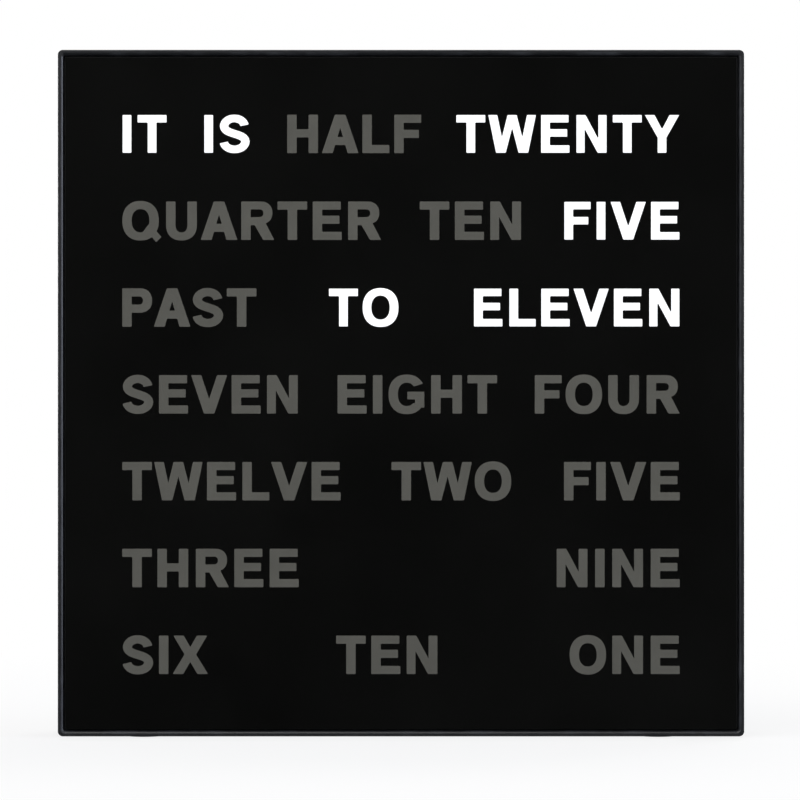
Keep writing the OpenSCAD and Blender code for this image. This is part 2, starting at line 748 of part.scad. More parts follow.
// The battery door, with two tabs at one end and a screw at the other
module battery_door() color(case_colour) difference() {
    union() {
        plate(door_w, door_h, door_y, flush_y, door_corner_r, door_mid, cell_z);
        for (s = [-1, 1])
            brick(tab_l + past, tab_w, door_y, door_y + tab_t, door_mid - door_w / 2 - (tab_l - past) / 2,
                cell_z + s * tab_z);
    }
    rod([door_screw_x, cell_z], door_y - past, back_y + past, small_screw_r + pass_gap, small_fn);
    rod([door_screw_x, cell_z], door_y + 0.5, back_y + past, small_head_r + pass_gap);
}

module battery_screw() color("#b9bcc0")
    screw([door_screw_x, cell_z], door_y + 0.5, 1, small_screw_r, small_screw_l - past, small_head_r, 0.9);

// The cell: a can with a smaller face towards the front
module coin_cell() color("#d5d6d8") {
    rod([-cell_x, cell_z], cell_y, cell_y + 0.4, cell_r - 1.2);
    rod([-cell_x, cell_z], cell_y + 0.4, cell_back, cell_r);
}

module cell_contact_base() color("#cfae6a") rod([-cell_x, cell_z], cell_pocket_y, cell_y, contact_r);

module cell_contact_side() color("#cfae6a")
    brick(contact_w, contact_t, cell_pocket_y, cell_back, -cell_x, cell_z + cell_r + cell_gap);

// The feet, or the seats that are cut for them
module foot_shapes(depth, r)
    for (sx = [-1, 1], sy = [-1, 1])
        translate([sx * foot_x, sy * foot_y, 0]) cylinder(h = base_z + depth, r = r, $fn = round_fn);

module rubber_feet() color("#0f0f10") foot_shapes(foot_seat, foot_r);

front_case();
front_panel();
panel_tape();
mask_film();
diffuser_sheet();
light_baffle();
led_board();
leds();
board_chips();
board_screws();
header_socket();
header_pins();
control_board();
control_screws();
tact_switches();
hour_stem();
minute_stem();
light_stem();
hour_button();
minute_button();
light_button();
power_jack();
jack_pin();
smoothing_capacitor();
rear_cover();
case_screws();
stand_leg();
leg_pin();
leg_pad();
battery_door();
battery_screw();
coin_cell();
cell_contact_base();
cell_contact_side();
rubber_feet();
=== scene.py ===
import bpy
import math
from mathutils import Matrix, Vector


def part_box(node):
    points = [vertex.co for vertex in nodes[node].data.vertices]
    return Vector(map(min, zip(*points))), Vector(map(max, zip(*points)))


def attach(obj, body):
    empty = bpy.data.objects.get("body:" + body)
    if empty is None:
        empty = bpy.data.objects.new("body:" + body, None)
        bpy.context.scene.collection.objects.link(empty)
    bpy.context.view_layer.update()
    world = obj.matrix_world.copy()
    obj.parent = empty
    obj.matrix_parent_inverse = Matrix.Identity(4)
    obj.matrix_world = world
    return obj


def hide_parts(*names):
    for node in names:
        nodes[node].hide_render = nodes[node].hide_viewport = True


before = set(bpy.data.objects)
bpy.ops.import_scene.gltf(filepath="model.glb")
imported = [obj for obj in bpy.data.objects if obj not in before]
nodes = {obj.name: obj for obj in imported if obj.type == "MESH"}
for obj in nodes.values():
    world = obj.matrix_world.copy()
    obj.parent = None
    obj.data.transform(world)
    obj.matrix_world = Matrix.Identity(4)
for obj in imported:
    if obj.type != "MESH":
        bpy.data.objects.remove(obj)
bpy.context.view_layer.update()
mm = 0.001


def linear(hexColour):
    # sRGB hex to the linear values that the shaders take
    parts = [int(hexColour[i:i + 2], 16) / 255 for i in (1, 3, 5)]
    return tuple(c / 12.92 if c < 0.04045 else ((c + 0.055) / 1.055) ** 2.4 for c in parts) + (1.0,)


def shade(hexColour, factor):
    return tuple(c * factor for c in linear(hexColour)[:3]) + (1.0,)


def nothingSelected():
    if bpy.context.object and bpy.context.object.mode != "OBJECT":
        bpy.ops.object.mode_set(mode="OBJECT")
    bpy.ops.object.select_all(action="DESELECT")


def pick(piece):
    nothingSelected()
    piece.select_set(True)
    bpy.context.view_layer.objects.active = piece


def dress(piece, *materials):
    piece.data.materials.clear()
    for material in materials:
        piece.data.materials.append(material)


def addNode(tree, kind, values=None, links=None, stops=None, **settings):
    # values and links go to inputs by name or number, stops to a colour ramp
    node = tree.nodes.new(kind)
    for name, value in settings.items():
        setattr(node, name, value)
    for socket, value in (values or {}).items():
        node.inputs[socket].default_value = value
    for socket, source in (links or {}).items():
        tree.links.new(source, node.inputs[socket])
    for i, (position, colour) in enumerate(stops or []):
        element = node.color_ramp.elements[i] if i < 2 else node.color_ramp.elements.new(position)
        element.position, element.color = position, colour
    return node


def newMaterial(name):
    # an empty material, its node tree, the Object coordinates that patterns read and its surface socket
    material = bpy.data.materials.new(name)
    material.use_nodes = True
    tree = material.node_tree
    tree.nodes.clear()
    place = addNode(tree, "ShaderNodeTexCoord").outputs["Object"]
    surface = addNode(tree, "ShaderNodeOutputMaterial").inputs["Surface"]
    return material, tree, place, surface


def mouldedPlastic(name, colour, grainMm, grainDepthMm, roughness, colourShift=0.12):
    # Injection moulded ABS, PC or nylon: the spark-eroded mould leaves a fine even grain that breaks up
    # the highlights, and cooling leaves clouds and a slow wave. The grain is drawn a few times its real
    # size, to show
    cloudMm, waveMm, waveDepthMm, grainShare = 18, 35, 0.05, 0.5
    material, tree, place, surface = newMaterial(name)
    grain = addNode(tree, "ShaderNodeTexNoise", {"Scale": 1 / (grainMm * mm), "Detail": 2.0},
                    {"Vector": place}).outputs["Fac"]
    cloud = addNode(tree, "ShaderNodeTexNoise",
                    {"Scale": 1 / (cloudMm * mm), "Detail": 8.0, "Roughness": 0.74},
                    {"Vector": place}).outputs["Fac"]
    wave = addNode(tree, "ShaderNodeTexNoise", {"Scale": 1 / (waveMm * mm), "Detail": 0.0},
                   {"Vector": place}).outputs["Fac"]
    both = addNode(tree, "ShaderNodeMath", {1: grainShare}, {0: grain, 2: cloud},
                   operation="MULTIPLY_ADD").outputs[0]
    tone = addNode(tree, "ShaderNodeValToRGB", links={"Fac": both},
                   stops=[(0.6, shade(colour, 1 - colourShift)), (0.9, shade(colour, 1 + colourShift))])
    rough = addNode(tree, "ShaderNodeMapRange",
                    {"From Min": 0.3, "From Max": 0.7,
                     "To Min": roughness - 0.06, "To Max": roughness + 0.07},
                    {"Value": cloud})
    slow = addNode(tree, "ShaderNodeBump", {"Strength": 1.0, "Distance": waveDepthMm * mm},
                   {"Height": wave})
    bump = addNode(tree, "ShaderNodeBump", {"Strength": 0.8, "Distance": grainDepthMm * mm},
                   {"Height": grain, "Normal": slow.outputs[0]})
    shader = addNode(tree, "ShaderNodeBsdfPrincipled", {"IOR": 1.53},
                     {"Base Color": tone.outputs["Color"], "Roughness": rough.outputs[0],
                      "Normal": bump.outputs[0]})
    tree.links.new(shader.outputs[0], surface)
    return material


def rubbedPlastic(name, colour, rubbedColour, roughness):
    # The same plastic where hands and tables have rubbed an edge: the grain is polished off, and in
    # patches the surface is scuffed paler
    patchMm, scuffDepthMm = 7, 0.01
    material, tree, place, surface = newMaterial(name)
    scuff = addNode(tree, "ShaderNodeTexNoise",
                    {"Scale": 1 / (patchMm * mm), "Detail": 6.0, "Roughness": 0.65},
                    {"Vector": place}).outputs["Fac"]
    tone = addNode(tree, "ShaderNodeValToRGB", links={"Fac": scuff},
                   stops=[(0.48, linear(colour)), (0.72, linear(rubbedColour))])
    rough = addNode(tree, "ShaderNodeMapRange",
                    {"From Min": 0.4, "From Max": 0.7, "To Min": roughness, "To Max": roughness + 0.14},
                    {"Value": scuff})
    bump = addNode(tree, "ShaderNodeBump", {"Strength": 0.3, "Distance": scuffDepthMm * mm},
                   {"Height": scuff})
    shader = addNode(tree, "ShaderNodeBsdfPrincipled", {"IOR": 1.53},
                     {"Base Color": tone.outputs["Color"], "Roughness": rough.outputs[0],
                      "Normal": bump.outputs[0]})
    tree.links.new(shader.outputs[0], surface)
    return material


def polishedAcrylic(name, colour):
    # Cast acrylic printed black behind: a deep gloss, with smudges that dull it a little and wiping
    # hairlines, which are stretched along one slanting way
    hairMm, hairDepthMm, smudgeMm = 0.35, 0.002, 45
    material, tree, place, surface = newMaterial(name)
    along = addNode(tree, "ShaderNodeMapping", {"Scale": (0.08, 1, 1), "Rotation": (0, 0.5, 0)},
                    {"Vector": place}).outputs[0]
    hair = addNode(tree, "ShaderNodeTexNoise", {"Scale": 1 / (hairMm * mm), "Detail": 2.0},
                   {"Vector": along}).outputs["Fac"]
    smudge = addNode(tree, "ShaderNodeTexNoise",
                     {"Scale": 1 / (smudgeMm * mm), "Detail": 5.0, "Roughness": 0.6},
                     {"Vector": place}).outputs["Fac"]
    rough = addNode(tree, "ShaderNodeMapRange",
                    {"From Min": 0.35, "From Max": 0.75, "To Min": 0.035, "To Max": 0.075},
                    {"Value": smudge})
    tone = addNode(tree, "ShaderNodeValToRGB", links={"Fac": smudge},
                   stops=[(0.35, shade(colour, 0.85)), (0.8, shade(colour, 1.35))])
    bump = addNode(tree, "ShaderNodeBump", {"Strength": 0.02, "Distance": hairDepthMm * mm},
                   {"Height": hair})
    shader = addNode(tree, "ShaderNodeBsdfPrincipled", {"IOR": 1.49},
                     {"Base Color": tone.outputs["Color"], "Roughness": rough.outputs[0],
                      "Normal": bump.outputs[0]})
    tree.links.new(shader.outputs[0], surface)
    return material


def litWord(name, colour, edgeColour, strength):
    # The milky sheet seen through a clear letter with its lamps on: white, a shade cooler between lamps
    lampPitchMm = 7
    material, tree, place, surface = newMaterial(name)
    cloud = addNode(tree, "ShaderNodeTexNoise", {"Scale": 1 / (lampPitchMm * mm), "Detail": 1.0},
                    {"Vector": place})
    glow = addNode(tree, "ShaderNodeValToRGB", links={"Fac": cloud.outputs["Fac"]},
                   stops=[(0.35, linear(edgeColour)), (0.65, linear(colour))])
    shader = addNode(tree, "ShaderNodeBsdfPrincipled",
                     {"Base Color": linear("#a8a8a6"), "Roughness": 0.05, "IOR": 1.49,
                      "Emission Strength": strength}, {"Emission Color": glow.outputs["Color"]})
    tree.links.new(shader.outputs[0], surface)
    return material


def darkWord(name, colour):
    # The same letter with its lamps off: dull grey, a little uneven from the sheet behind
    cloudMm = 9
    material, tree, place, surface = newMaterial(name)
    cloud = addNode(tree, "ShaderNodeTexNoise", {"Scale": 1 / (cloudMm * mm), "Detail": 3.0},
                    {"Vector": place})
    tone = addNode(tree, "ShaderNodeValToRGB", links={"Fac": cloud.outputs["Fac"]},
                   stops=[(0.3, shade(colour, 0.94)), (0.7, shade(colour, 1.06))])
    shader = addNode(tree, "ShaderNodeBsdfPrincipled", {"Roughness": 0.05, "IOR": 1.49},
                     {"Base Color": tone.outputs["Color"]})
    tree.links.new(shader.outputs[0], surface)
    return material


def padInk(name, colour):
    # Pad printed ink: a thin satin film that takes the grain of the plastic under it, a little patchy
    grainMm, grainDepthMm = 1.0, 0.05
    material, tree, place, surface = newMaterial(name)
    grain = addNode(tree, "ShaderNodeTexNoise", {"Scale": 1 / (grainMm * mm), "Detail": 2.0},
                    {"Vector": place}).outputs["Fac"]
    tone = addNode(tree, "ShaderNodeValToRGB", links={"Fac": grain},
                   stops=[(0.3, shade(colour, 0.88)), (0.7, shade(colour, 1.06))])
    bump = addNode(tree, "ShaderNodeBump", {"Strength": 0.5, "Distance": grainDepthMm * mm},
                   {"Height": grain})
    shader = addNode(tree, "ShaderNodeBsdfPrincipled", {"Roughness": 0.5, "IOR": 1.5},
                     {"Base Color": tone.outputs["Color"], "Normal": bump.outputs[0]})
    tree.links.new(shader.outputs[0], surface)
    return material


def softRubber(name, colour):
    # Moulded elastomer: dull, with a pale dusty bloom in patches
    dustMm, dustDepthMm = 0.6, 0.02
    material, tree, place, surface = newMaterial(name)
    dust = addNode(tree, "ShaderNodeTexNoise", {"Scale": 1 / (dustMm * mm), "Detail": 6.0},
                   {"Vector": place}).outputs["Fac"]
    bloom = addNode(tree, "ShaderNodeValToRGB", links={"Fac": dust},
                    stops=[(0.4, linear(colour)), (0.75, shade(colour, 2.2))])
    bump = addNode(tree, "ShaderNodeBump", {"Strength": 0.4, "Distance": dustDepthMm * mm},
                   {"Height": dust})
    shader = addNode(tree, "ShaderNodeBsdfPrincipled", {"Roughness": 0.72, "IOR": 1.52},
                     {"Base Color": bloom.outputs["Color"], "Normal": bump.outputs[0]})
    tree.links.new(shader.outputs[0], surface)
    return material


def platedMetal(name, colour, roughness, markMm):
    # Plated or pressed metal: turning and drawing marks stretched along one way
    markDepthMm = 0.01
    material, tree, place, surface = newMaterial(name)
    along = addNode(tree, "ShaderNodeMapping", {"Scale": (1, 0.15, 1)}, {"Vector": place}).outputs[0]
    marks = addNode(tree, "ShaderNodeTexNoise", {"Scale": 1 / (markMm * mm), "Detail": 4.0},
                    {"Vector": along}).outputs["Fac"]
    tone = addNode(tree, "ShaderNodeValToRGB", links={"Fac": marks},
                   stops=[(0.3, shade(colour, 0.82)), (0.7, linear(colour))])
    rough = addNode(tree, "ShaderNodeMapRange", {"To Min": roughness - 0.06, "To Max": roughness + 0.1},
                    {"Value": marks})
    bump = addNode(tree, "ShaderNodeBump", {"Strength": 0.2, "Distance": markDepthMm * mm},
                   {"Height": marks})
    shader = addNode(tree, "ShaderNodeBsdfPrincipled", {"Metallic": 1.0},
                     {"Base Color": tone.outputs["Color"], "Roughness": rough.outputs[0],
                      "Normal": bump.outputs[0]})
    tree.links.new(shader.outputs[0], surface)
    return material


def solderMask(name, colour, trackColour):
    # Printed board: copper tracks show through the mask as paler raised lines. Their pitch is drawn
    # several times its real size, to show
    trackPitchMm, trackDepthMm = 6, 0.03
    material, tree, place, surface = newMaterial(name)
    flat = addNode(tree, "ShaderNodeMapping", {"Rotation": (math.radians(90), 0, 0)}, {"Vector": place})
    tracks = addNode(tree, "ShaderNodeTexBrick",
                     {"Scale": 1 / (trackPitchMm * mm), "Mortar Size": 0.04, "Mortar Smooth": 0.2,
                      "Color1": linear(colour), "Color2": shade(colour, 0.95),
                      "Mortar": linear(trackColour)},
                     {"Vector": flat.outputs[0]})
    bump = addNode(tree, "ShaderNodeBump", {"Strength": 0.3, "Distance": trackDepthMm * mm},
                   {"Height": tracks.outputs["Fac"]})
    shader = addNode(tree, "ShaderNodeBsdfPrincipled", {"Roughness": 0.28, "IOR": 1.55},
                     {"Base Color": tracks.outputs["Color"], "Normal": bump.outputs[0]})
    tree.links.new(shader.outputs[0], surface)
    return material


print("materials")
finishes = {
    # moulded plastics: name, colour, width and depth of the grain in mm, roughness, spread of the tone
    # metals: name, colour, roughness, width of the marks in mm
    "caseAbs": mouldedPlastic("spark textured ABS", "#18191b", 1.0, 0.085, 0.38, 0.2),
    "caseEdge": rubbedPlastic("rubbed ABS edge", "#151618", "#2c2e32", 0.34),
    "panelAcrylic": polishedAcrylic("black printed acrylic", "#0b0b0a"),
    # a saw leaves the edge dull
    "cutAcrylic": mouldedPlastic("saw cut acrylic edge", "#0b0b0a", 0.5, 0.02, 0.6),
    "wordLit": litWord("lit diffuser", "#ffffff", "#f2f5fa", 0.85),
    "wordDark": darkWord("unlit diffuser", "#53524c"),
    "labelInk": padInk("pad printed ink", "#9a9c9e"),
    "keyAbs": mouldedPlastic("key ABS", "#34363b", 0.8, 0.05, 0.4, 0.2),
    "legAbs": mouldedPlastic("leg ABS", "#212225", 0.9, 0.07, 0.42, 0.2),
    "rubber": softRubber("black elastomer", "#0f0f10"),
    "blackSteel": platedMetal("black oxide steel", "#3c3e42", 0.42, 0.25),
    "zincSteel": platedMetal("zinc plated steel", "#b9bcc0", 0.3, 0.2),
    "nickel": platedMetal("nickel plated brass", "#cfd0d2", 0.16, 0.15),
    "brass": platedMetal("spring brass", "#cfae6a", 0.28, 0.3),
    "cellSteel": platedMetal("stainless cell can", "#d5d6d8", 0.22, 0.4),
    "tape": mouldedPlastic("foam tape", "#e8e4d8", 0.5, 0.05, 0.8),
    "filmPrint": mouldedPlastic("printed polyester film", "#101012", 0.2, 0.005, 0.5),
    "milkySheet": mouldedPlastic("milky acrylic sheet", "#f4f4f0", 0.5, 0.005, 0.45, 0.03),
    "whiteAbs": mouldedPlastic("white baffle ABS", "#e9e9e6", 0.4, 0.02, 0.5, 0.04),
    "nylon": mouldedPlastic("black nylon", "#1c1c1f", 0.3, 0.02, 0.38),
    "acetal": mouldedPlastic("natural acetal", "#c9b48a", 0.3, 0.01, 0.35),
    "epoxy": mouldedPlastic("moulded chip epoxy", "#26282b", 0.25, 0.02, 0.6),
    "ledBody": mouldedPlastic("lamp body with phosphor", "#fff1c4", 0.3, 0.01, 0.4, 0.05),
    "sleeve": mouldedPlastic("shrunk sleeve", "#2a3550", 0.8, 0.02, 0.25),
    "whiteMask": solderMask("white solder mask", "#ece9df", "#d3cdbb"),
    "greenMask": solderMask("green solder mask", "#1f5a3a", "#2f7a50"),
}


# how closely the casework's meshes are cleaned, and which edges count as hard
mending = {"mergeMm": 0.002, "sliverMm": 0.003, "slackMm": 0.01, "flatDegrees": 1, "hardDegrees": 30,
           "smoothDegrees": 28}


def roundEdges(piece, width, steps, wanted):
    # rounds the hard edges whose two ends both lie where it is wanted, in the piece's second finish
    bpy.ops.object.mode_set(mode="EDIT")
    bpy.ops.mesh.select_mode(type="EDGE")
    bpy.ops.mesh.select_all(action="DESELECT")
    bpy.ops.mesh.edges_select_sharp(sharpness=math.radians(mending["hardDegrees"]))
    bpy.ops.object.mode_set(mode="OBJECT")
    points = [vertex.co for vertex in piece.data.vertices]
    chosen = [edge.index for edge in piece.data.edges
              if edge.select and all(wanted(points[i]) for i in edge.vertices)]
    bpy.ops.object.mode_set(mode="EDIT")
    bpy.ops.mesh.select_all(action="DESELECT")
    bpy.ops.object.mode_set(mode="OBJECT")
    for i in chosen:
        piece.data.edges[i].select = True
    bpy.ops.object.mode_set(mode="EDIT")
    bpy.ops.mesh.bevel(offset=width, segments=steps, affect="EDGES", material=1)
    bpy.ops.object.mode_set(mode="OBJECT")


def roundNose(piece, low, high, edges):
    # the front rim's inner edge is rounded far more than its outer one
    front, inside = low.y + mending["slackMm"] * mm, high.x - edges["noseFromMm"] * mm
    middle = (low.z + high.z) / 2
    roundEdges(piece, edges["noseMm"] * mm, edges["noseSteps"],
               lambda p: p.y < front and max(abs(p.x), abs(p.z - middle)) < inside)


def roundClearOfHinge(piece, high, edges):
    # the edges are rounded up to a little below the barrel, where they run out
    end = high.z - edges["hingeMm"] * mm
    bpy.ops.object.mode_set(mode="EDIT")
    bpy.ops.mesh.select_all(action="SELECT")
    bpy.ops.mesh.bisect(plane_co=(0, 0, end), plane_no=(0, 0, 1))
    bpy.ops.object.mode_set(mode="OBJECT")
    roundEdges(piece, edges["widthMm"] * mm, edges["steps"],
               lambda p: p.z < end + mending["slackMm"] * mm)


def mergedCopy(name, node):
    # a copy of a CAD piece with its loose triangles merged into whole faces
    piece = nodes[node].copy()
    piece.data = nodes[node].data.copy()
    bpy.context.scene.collection.objects.link(piece)
    for key in list(piece.keys()):
        del piece[key]
    piece.parent = None
    piece.name = piece.data.name = name
    pick(piece)
    bpy.ops.object.mode_set(mode="EDIT")
    bpy.ops.mesh.select_all(action="SELECT")
    bpy.ops.mesh.remove_doubles(threshold=mending["mergeMm"] * mm)
    bpy.ops.mesh.dissolve_limited(angle_limit=math.radians(mending["flatDegrees"]))
    bpy.ops.object.mode_set(mode="OBJECT")
    return piece


def softened(name, node, body, finish, edgeFinish, edges):
    # the CAD piece with small rounds along its hard edges, in place of the plain one
    piece = mergedCopy(name, node)
    dress(piece, finishes[finish], finishes[edgeFinish])
    if "hingeMm" in edges:
        roundClearOfHinge(piece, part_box(node)[1], edges)
    else:
        if "noseMm" in edges:
            roundNose(piece, *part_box(node), edges)
        bevel = piece.modifiers.new("edges", "BEVEL")
        bevel.width = edges["widthMm"] * mm
        bevel.segments = edges["steps"]
        bevel.angle_limit = math.radians(mending["hardDegrees"])
        bevel.use_clamp_overlap = False
        bevel.material = 1
        bpy.ops.object.modifier_apply(modifier="edges")
    bpy.ops.object.mode_set(mode="EDIT")
    bpy.ops.mesh.select_all(action="SELECT")
    bpy.ops.mesh.dissolve_degenerate(threshold=mending["sliverMm"] * mm)
    bpy.ops.object.mode_set(mode="OBJECT")
    bpy.ops.object.shade_smooth_by_angle(angle=math.radians(mending["smoothDegrees"]))
    # flat faces keep their own normal, so that the rounds don't shade across them
    weighted = piece.modifiers.new("flats", "WEIGHTED_NORMAL")
    weighted.keep_sharp = True
    bpy.ops.object.modifier_apply(modifier="flats")
    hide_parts(node)
    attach(piece, body)
    return piece


print("case, cover and leg")
casework = {
    # piece: CAD node, body, finish, finish of its edges, their round
    "caseShell": ("front_case", "case", "caseAbs", "caseEdge",
                  {"widthMm": 0.12, "steps": 2, "noseMm": 0.85, "noseSteps": 6, "noseFromMm": 0.7}),
    "dialPanel": ("front_panel", "case", "panelAcrylic", "cutAcrylic", {"widthMm": 0.05, "steps": 2}),
    "backCover": ("rear_cover", "case", "caseAbs", "caseEdge", {"widthMm": 0.2, "steps": 2}),
    "cellDoor": ("battery_door", "case", "caseAbs", "caseEdge", {"widthMm": 0.2, "steps": 2}),
    "feet": ("rubber_feet", "case", "rubber", "rubber", {"widthMm": 0.15, "steps": 2}),
    "legPlate": ("stand_leg", "leg", "legAbs", "caseEdge", {"widthMm": 0.3, "steps": 3, "hingeMm": 10}),
    "legFoot": ("leg_pad", "leg", "rubber", "rubber", {"widthMm": 0.2, "steps": 2}),
    "hourKey": ("hour_button", "hour_key", "keyAbs", "caseEdge", {"widthMm": 0.3, "steps": 3}),
    "minuteKey": ("minute_button", "minute_key", "keyAbs", "caseEdge", {"widthMm": 0.3, "steps": 3}),
    "lightKey": ("light_button", "light_key", "keyAbs", "caseEdge", {"widthMm": 0.3, "steps": 3}),
}
for pieceName, pieceArguments in casework.items():
    softened(pieceName, *pieceArguments)


print("leg grip")
legGrip = {"count": 5, "lengthMm": 14.0, "heightMm": 0.9, "pitchMm": 1.9, "proudMm": 0.18, "sunkMm": 0.1,
           "aboveFootMm": 4.0, "roundShare": 0.7, "roundSteps": 3}


def gripRidge(name, z, surfaceY):
    # a rounded ridge across the leg, for the fingernail that folds it out
    depth = (legGrip["proudMm"] + legGrip["sunkMm"]) * mm
    nothingSelected()
    bpy.ops.mesh.primitive_cube_add(
        size=1, location=(0, surfaceY + legGrip["proudMm"] * mm - depth / 2, z),
        scale=(legGrip["lengthMm"] * mm, depth, legGrip["heightMm"] * mm))
    bpy.ops.object.transform_apply(location=True, rotation=True, scale=True)
    ridge = bpy.context.object
    ridge.name = ridge.data.name = name
    bpy.ops.object.mode_set(mode="EDIT")
    bpy.ops.mesh.select_all(action="SELECT")
    bpy.ops.mesh.bevel(offset=legGrip["proudMm"] * mm * legGrip["roundShare"],
                       segments=legGrip["roundSteps"], affect="EDGES")
    bpy.ops.object.mode_set(mode="OBJECT")
    bpy.ops.object.shade_smooth_by_angle(angle=math.radians(mending["smoothDegrees"]))
    dress(ridge, finishes["legAbs"])
    return ridge


def higherRidge(name, ridge, rise):
    # the same ridge further up the leg, with a mesh of its own
    another = ridge.copy()
    another.data = ridge.data.copy()
    another.name = another.data.name = name
    another.data.transform(Matrix.Translation((0, 0, rise)))
    bpy.context.scene.collection.objects.link(another)
    return another


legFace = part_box("stand_leg")[1].y
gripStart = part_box("leg_pad")[1].z + legGrip["aboveFootMm"] * mm
ridges = [gripRidge("legRidge1", gripStart, legFace)]
for ridgeIndex in range(1, legGrip["count"]):
    ridges.append(higherRidge(f"legRidge{ridgeIndex + 1}", ridges[0], ridgeIndex * legGrip["pitchMm"] * mm))
for ridge in ridges:
    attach(ridge, "leg")


# Sizes of the lettering are shares of the capital height
stem, bar, overshoot, squareness = 0.245, 0.212, 0.015, 2.25
bowl = {"middleX": 0.475, "middleY": 0.5, "halfWidth": 0.475, "halfHeight": 0.5 + overshoot}


def arc(cx, cy, rx, ry, start, end, steps, power=squareness):
    # points along an ellipse, which is a squarer curve where power is above 2
    points = []
    for i in range(steps + 1):
        a = math.radians(start + (end - start) * i / steps)
        c, s = math.cos(a), math.sin(a)
        points.append((cx + rx * math.copysign(abs(c) ** (2 / power), c),
                       cy + ry * math.copysign(abs(s) ** (2 / power), s)))
    return points


def bowlOutside(start, end, steps):
    # the outer side of the round letters
    return arc(bowl["middleX"], bowl["middleY"], bowl["halfWidth"], bowl["halfHeight"], start, end, steps)


def bowlInside(start, end, steps):
    # their inner side, a stem and a bar further in
    return arc(bowl["middleX"], bowl["middleY"], bowl["halfWidth"] - stem, bowl["halfHeight"] - bar,
               start, end, steps)


def cubic(p0, p1, p2, p3, steps=12):
    # the inner points of a curve from p0 to p3
    return [tuple((1 - t) ** 3 * a + 3 * (1 - t) ** 2 * t * b + 3 * (1 - t) * t * t * c + t ** 3 * d
                  for a, b, c, d in zip(p0, p1, p2, p3)) for t in (i / steps for i in range(1, steps))]


def brushed(spine):
    # an outline round a spine: strokes that run upright are as thick as a stem, level ones as a bar
    left, right = [], []
    for i, (x, y) in enumerate(spine):
        before, after = spine[max(i - 1, 0)], spine[min(i + 1, len(spine) - 1)]
        dx, dy = after[0] - before[0], after[1] - before[1]
        size = math.hypot(dx, dy)
        half = (bar * abs(dx) + stem * abs(dy)) / (abs(dx) + abs(dy)) / 2
        left.append((x - dy / size * half, y + dx / size * half))
        right.append((x + dy / size * half, y - dx / size * half))
    return left + right[::-1]


def snake():
    # the S: two round bowls joined by a slanting waist, both ends cut level
    upper = arc(0.40, 0.70, 0.265, 0.21 - overshoot / 2, 4, 180, 16, 2)
    lower = arc(0.405, 0.30, 0.28, 0.21 - overshoot / 2, 0, -176, 16, 2)
    waist = cubic(upper[-1], (upper[-1][0], 0.47), (lower[0][0], 0.53), lower[0])
    return brushed(upper + waist + lower)


